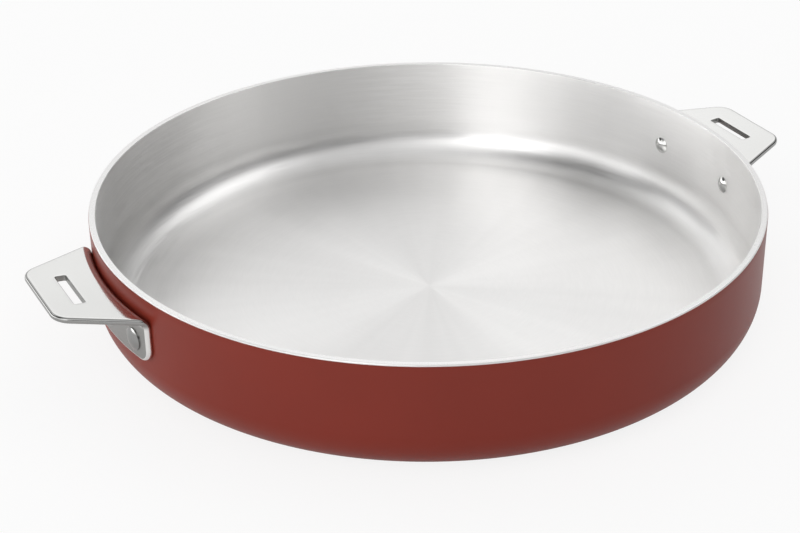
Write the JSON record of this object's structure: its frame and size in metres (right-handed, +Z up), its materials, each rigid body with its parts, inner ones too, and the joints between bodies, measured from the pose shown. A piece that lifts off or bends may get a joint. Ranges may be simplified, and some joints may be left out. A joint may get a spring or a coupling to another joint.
{
  "type": "frying pan",
  "caption": "Wide shallow metal pan with straight walls, a brushed inside, a dark red outside and short riveted sheet handles, each with a slot.",
  "frame": {"origin": "centre of the flat base, on the surface that the pan stands on", "axes": "+Z up along the pan's axis, +X along the line through both handles, +Y across it"},
  "size_m": [0.3854, 0.3204, 0.056],
  "materials": {
    "stainless": "brushed",
    "aluminium": "satin",
    "polished": "polished",
    "red": "satin"
  },
  "bodies": {
    "root": {"outer_shell": "stainless", "aluminium_core": "aluminium", "inner_liner": "stainless", "red_coat": "red", "handle_right": "polished", "handle_left": "polished", "rivet_right_front": "polished", "rivet_right_back": "polished", "rivet_left_front": "polished", "rivet_left_back": "polished"}
  },
  "joints": []
}
